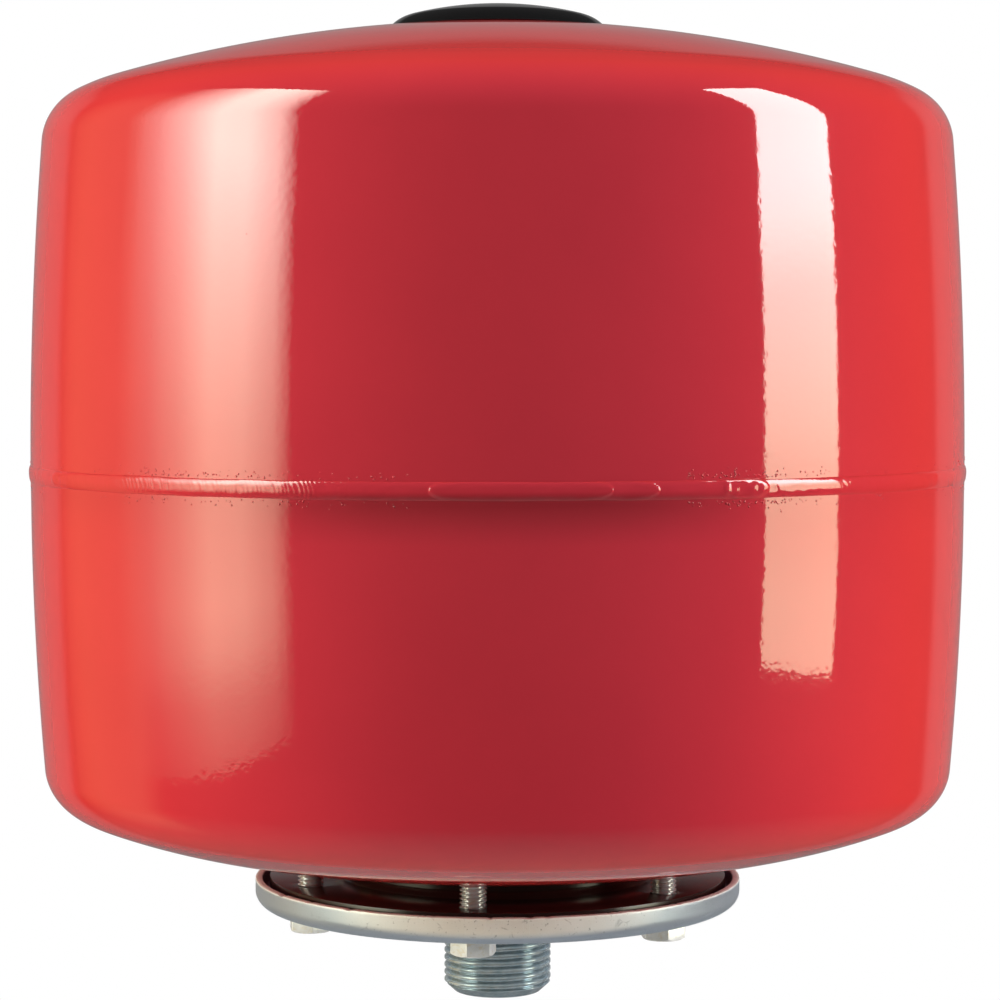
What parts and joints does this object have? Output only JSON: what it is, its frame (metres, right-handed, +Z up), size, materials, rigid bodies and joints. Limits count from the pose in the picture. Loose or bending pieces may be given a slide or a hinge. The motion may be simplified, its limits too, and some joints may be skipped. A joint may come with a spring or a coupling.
{
  "type": "expansion vessel",
  "caption": "Vertical membrane expansion vessel: red pressed-steel shells with a girth weld, a bolted counter-flange with a male pipe thread below, and an air valve under a black cover on top.",
  "frame": {"origin": "centre of the water connector's end face, which is the lowest point of the vessel", "axes": "+Z up the vessel's axis, from the water connector to the air valve; -Y is the front; +X to the right seen from the front"},
  "size_m": [0.2888, 0.2888, 0.3063],
  "materials": {
    "red_enamel": "high-gloss stove enamel with slight orange peel",
    "galvanised_sheet": "galvanised, satin, lightly scratched",
    "zinc_connector": "bright blue-passivated zinc",
    "zinc_screw": "zinc plated, slightly yellowish",
    "membrane_rubber": "matt moulded rubber",
    "seal_rubber": "satin rubber",
    "valve_brass": "turned, satin",
    "spring_steel": "drawn wire, bright",
    "cap_plastic": "moulded, satin",
    "cover_plastic": "moulded, glossy black"
  },
  "bodies": {
    "vessel": {"upper_shell": "red_enamel", "lower_shell": "red_enamel", "girth_weld": "red_enamel", "neck_ring": "red_enamel", "neck_weld": "red_enamel", "counter_flange": "galvanised_sheet", "membrane": "membrane_rubber", "water_connector": "zinc_connector", "connector_weld": "zinc_connector", "flange_bolts": "zinc_screw", "valve_bush": "red_enamel", "valve_bush_weld": "red_enamel", "valve_seal": "seal_rubber", "valve_body": "valve_brass", "valve_core": "valve_brass", "valve_core_seal": "seal_rubber", "valve_spring": "spring_steel"},
    "cover": {"valve_cover": "cover_plastic"},
    "cap_seal": {"dust_cap_seal": "seal_rubber"},
    "dust_cap": {"dust_cap": "cap_plastic"},
    "core_pin": {"valve_pin": "valve_brass", "valve_pin_seal": "seal_rubber"}
  },
  "joints": [
    {"name": "cover_pull", "type": "slide", "parent": "vessel", "child": "cover", "axis": [0, 0, 1], "range_m": [0, 0.03]},
    {"name": "cap_lift", "type": "slide", "parent": "vessel", "child": "cap_seal", "axis": [0, 0, 1], "range_m": [0, 0.00397]},
    {"name": "cap_turn", "type": "hinge", "parent": "cap_seal", "child": "dust_cap", "pos_m": [0, 0, 0.29], "axis": [0, 0, 1], "range_deg": [0, 1800]},
    {"name": "pin_press", "type": "slide", "parent": "vessel", "child": "core_pin", "axis": [0, 0, -1], "range_m": [0, 0.0012], "stiffness_N_per_m": 300, "springref_m": -0.001, "deforming": ["valve_spring"]}
  ],
  "couplings": [
    {"joint": "cap_turn", "follows": "cap_lift", "rad_per_m": 7915.8}
  ]
}
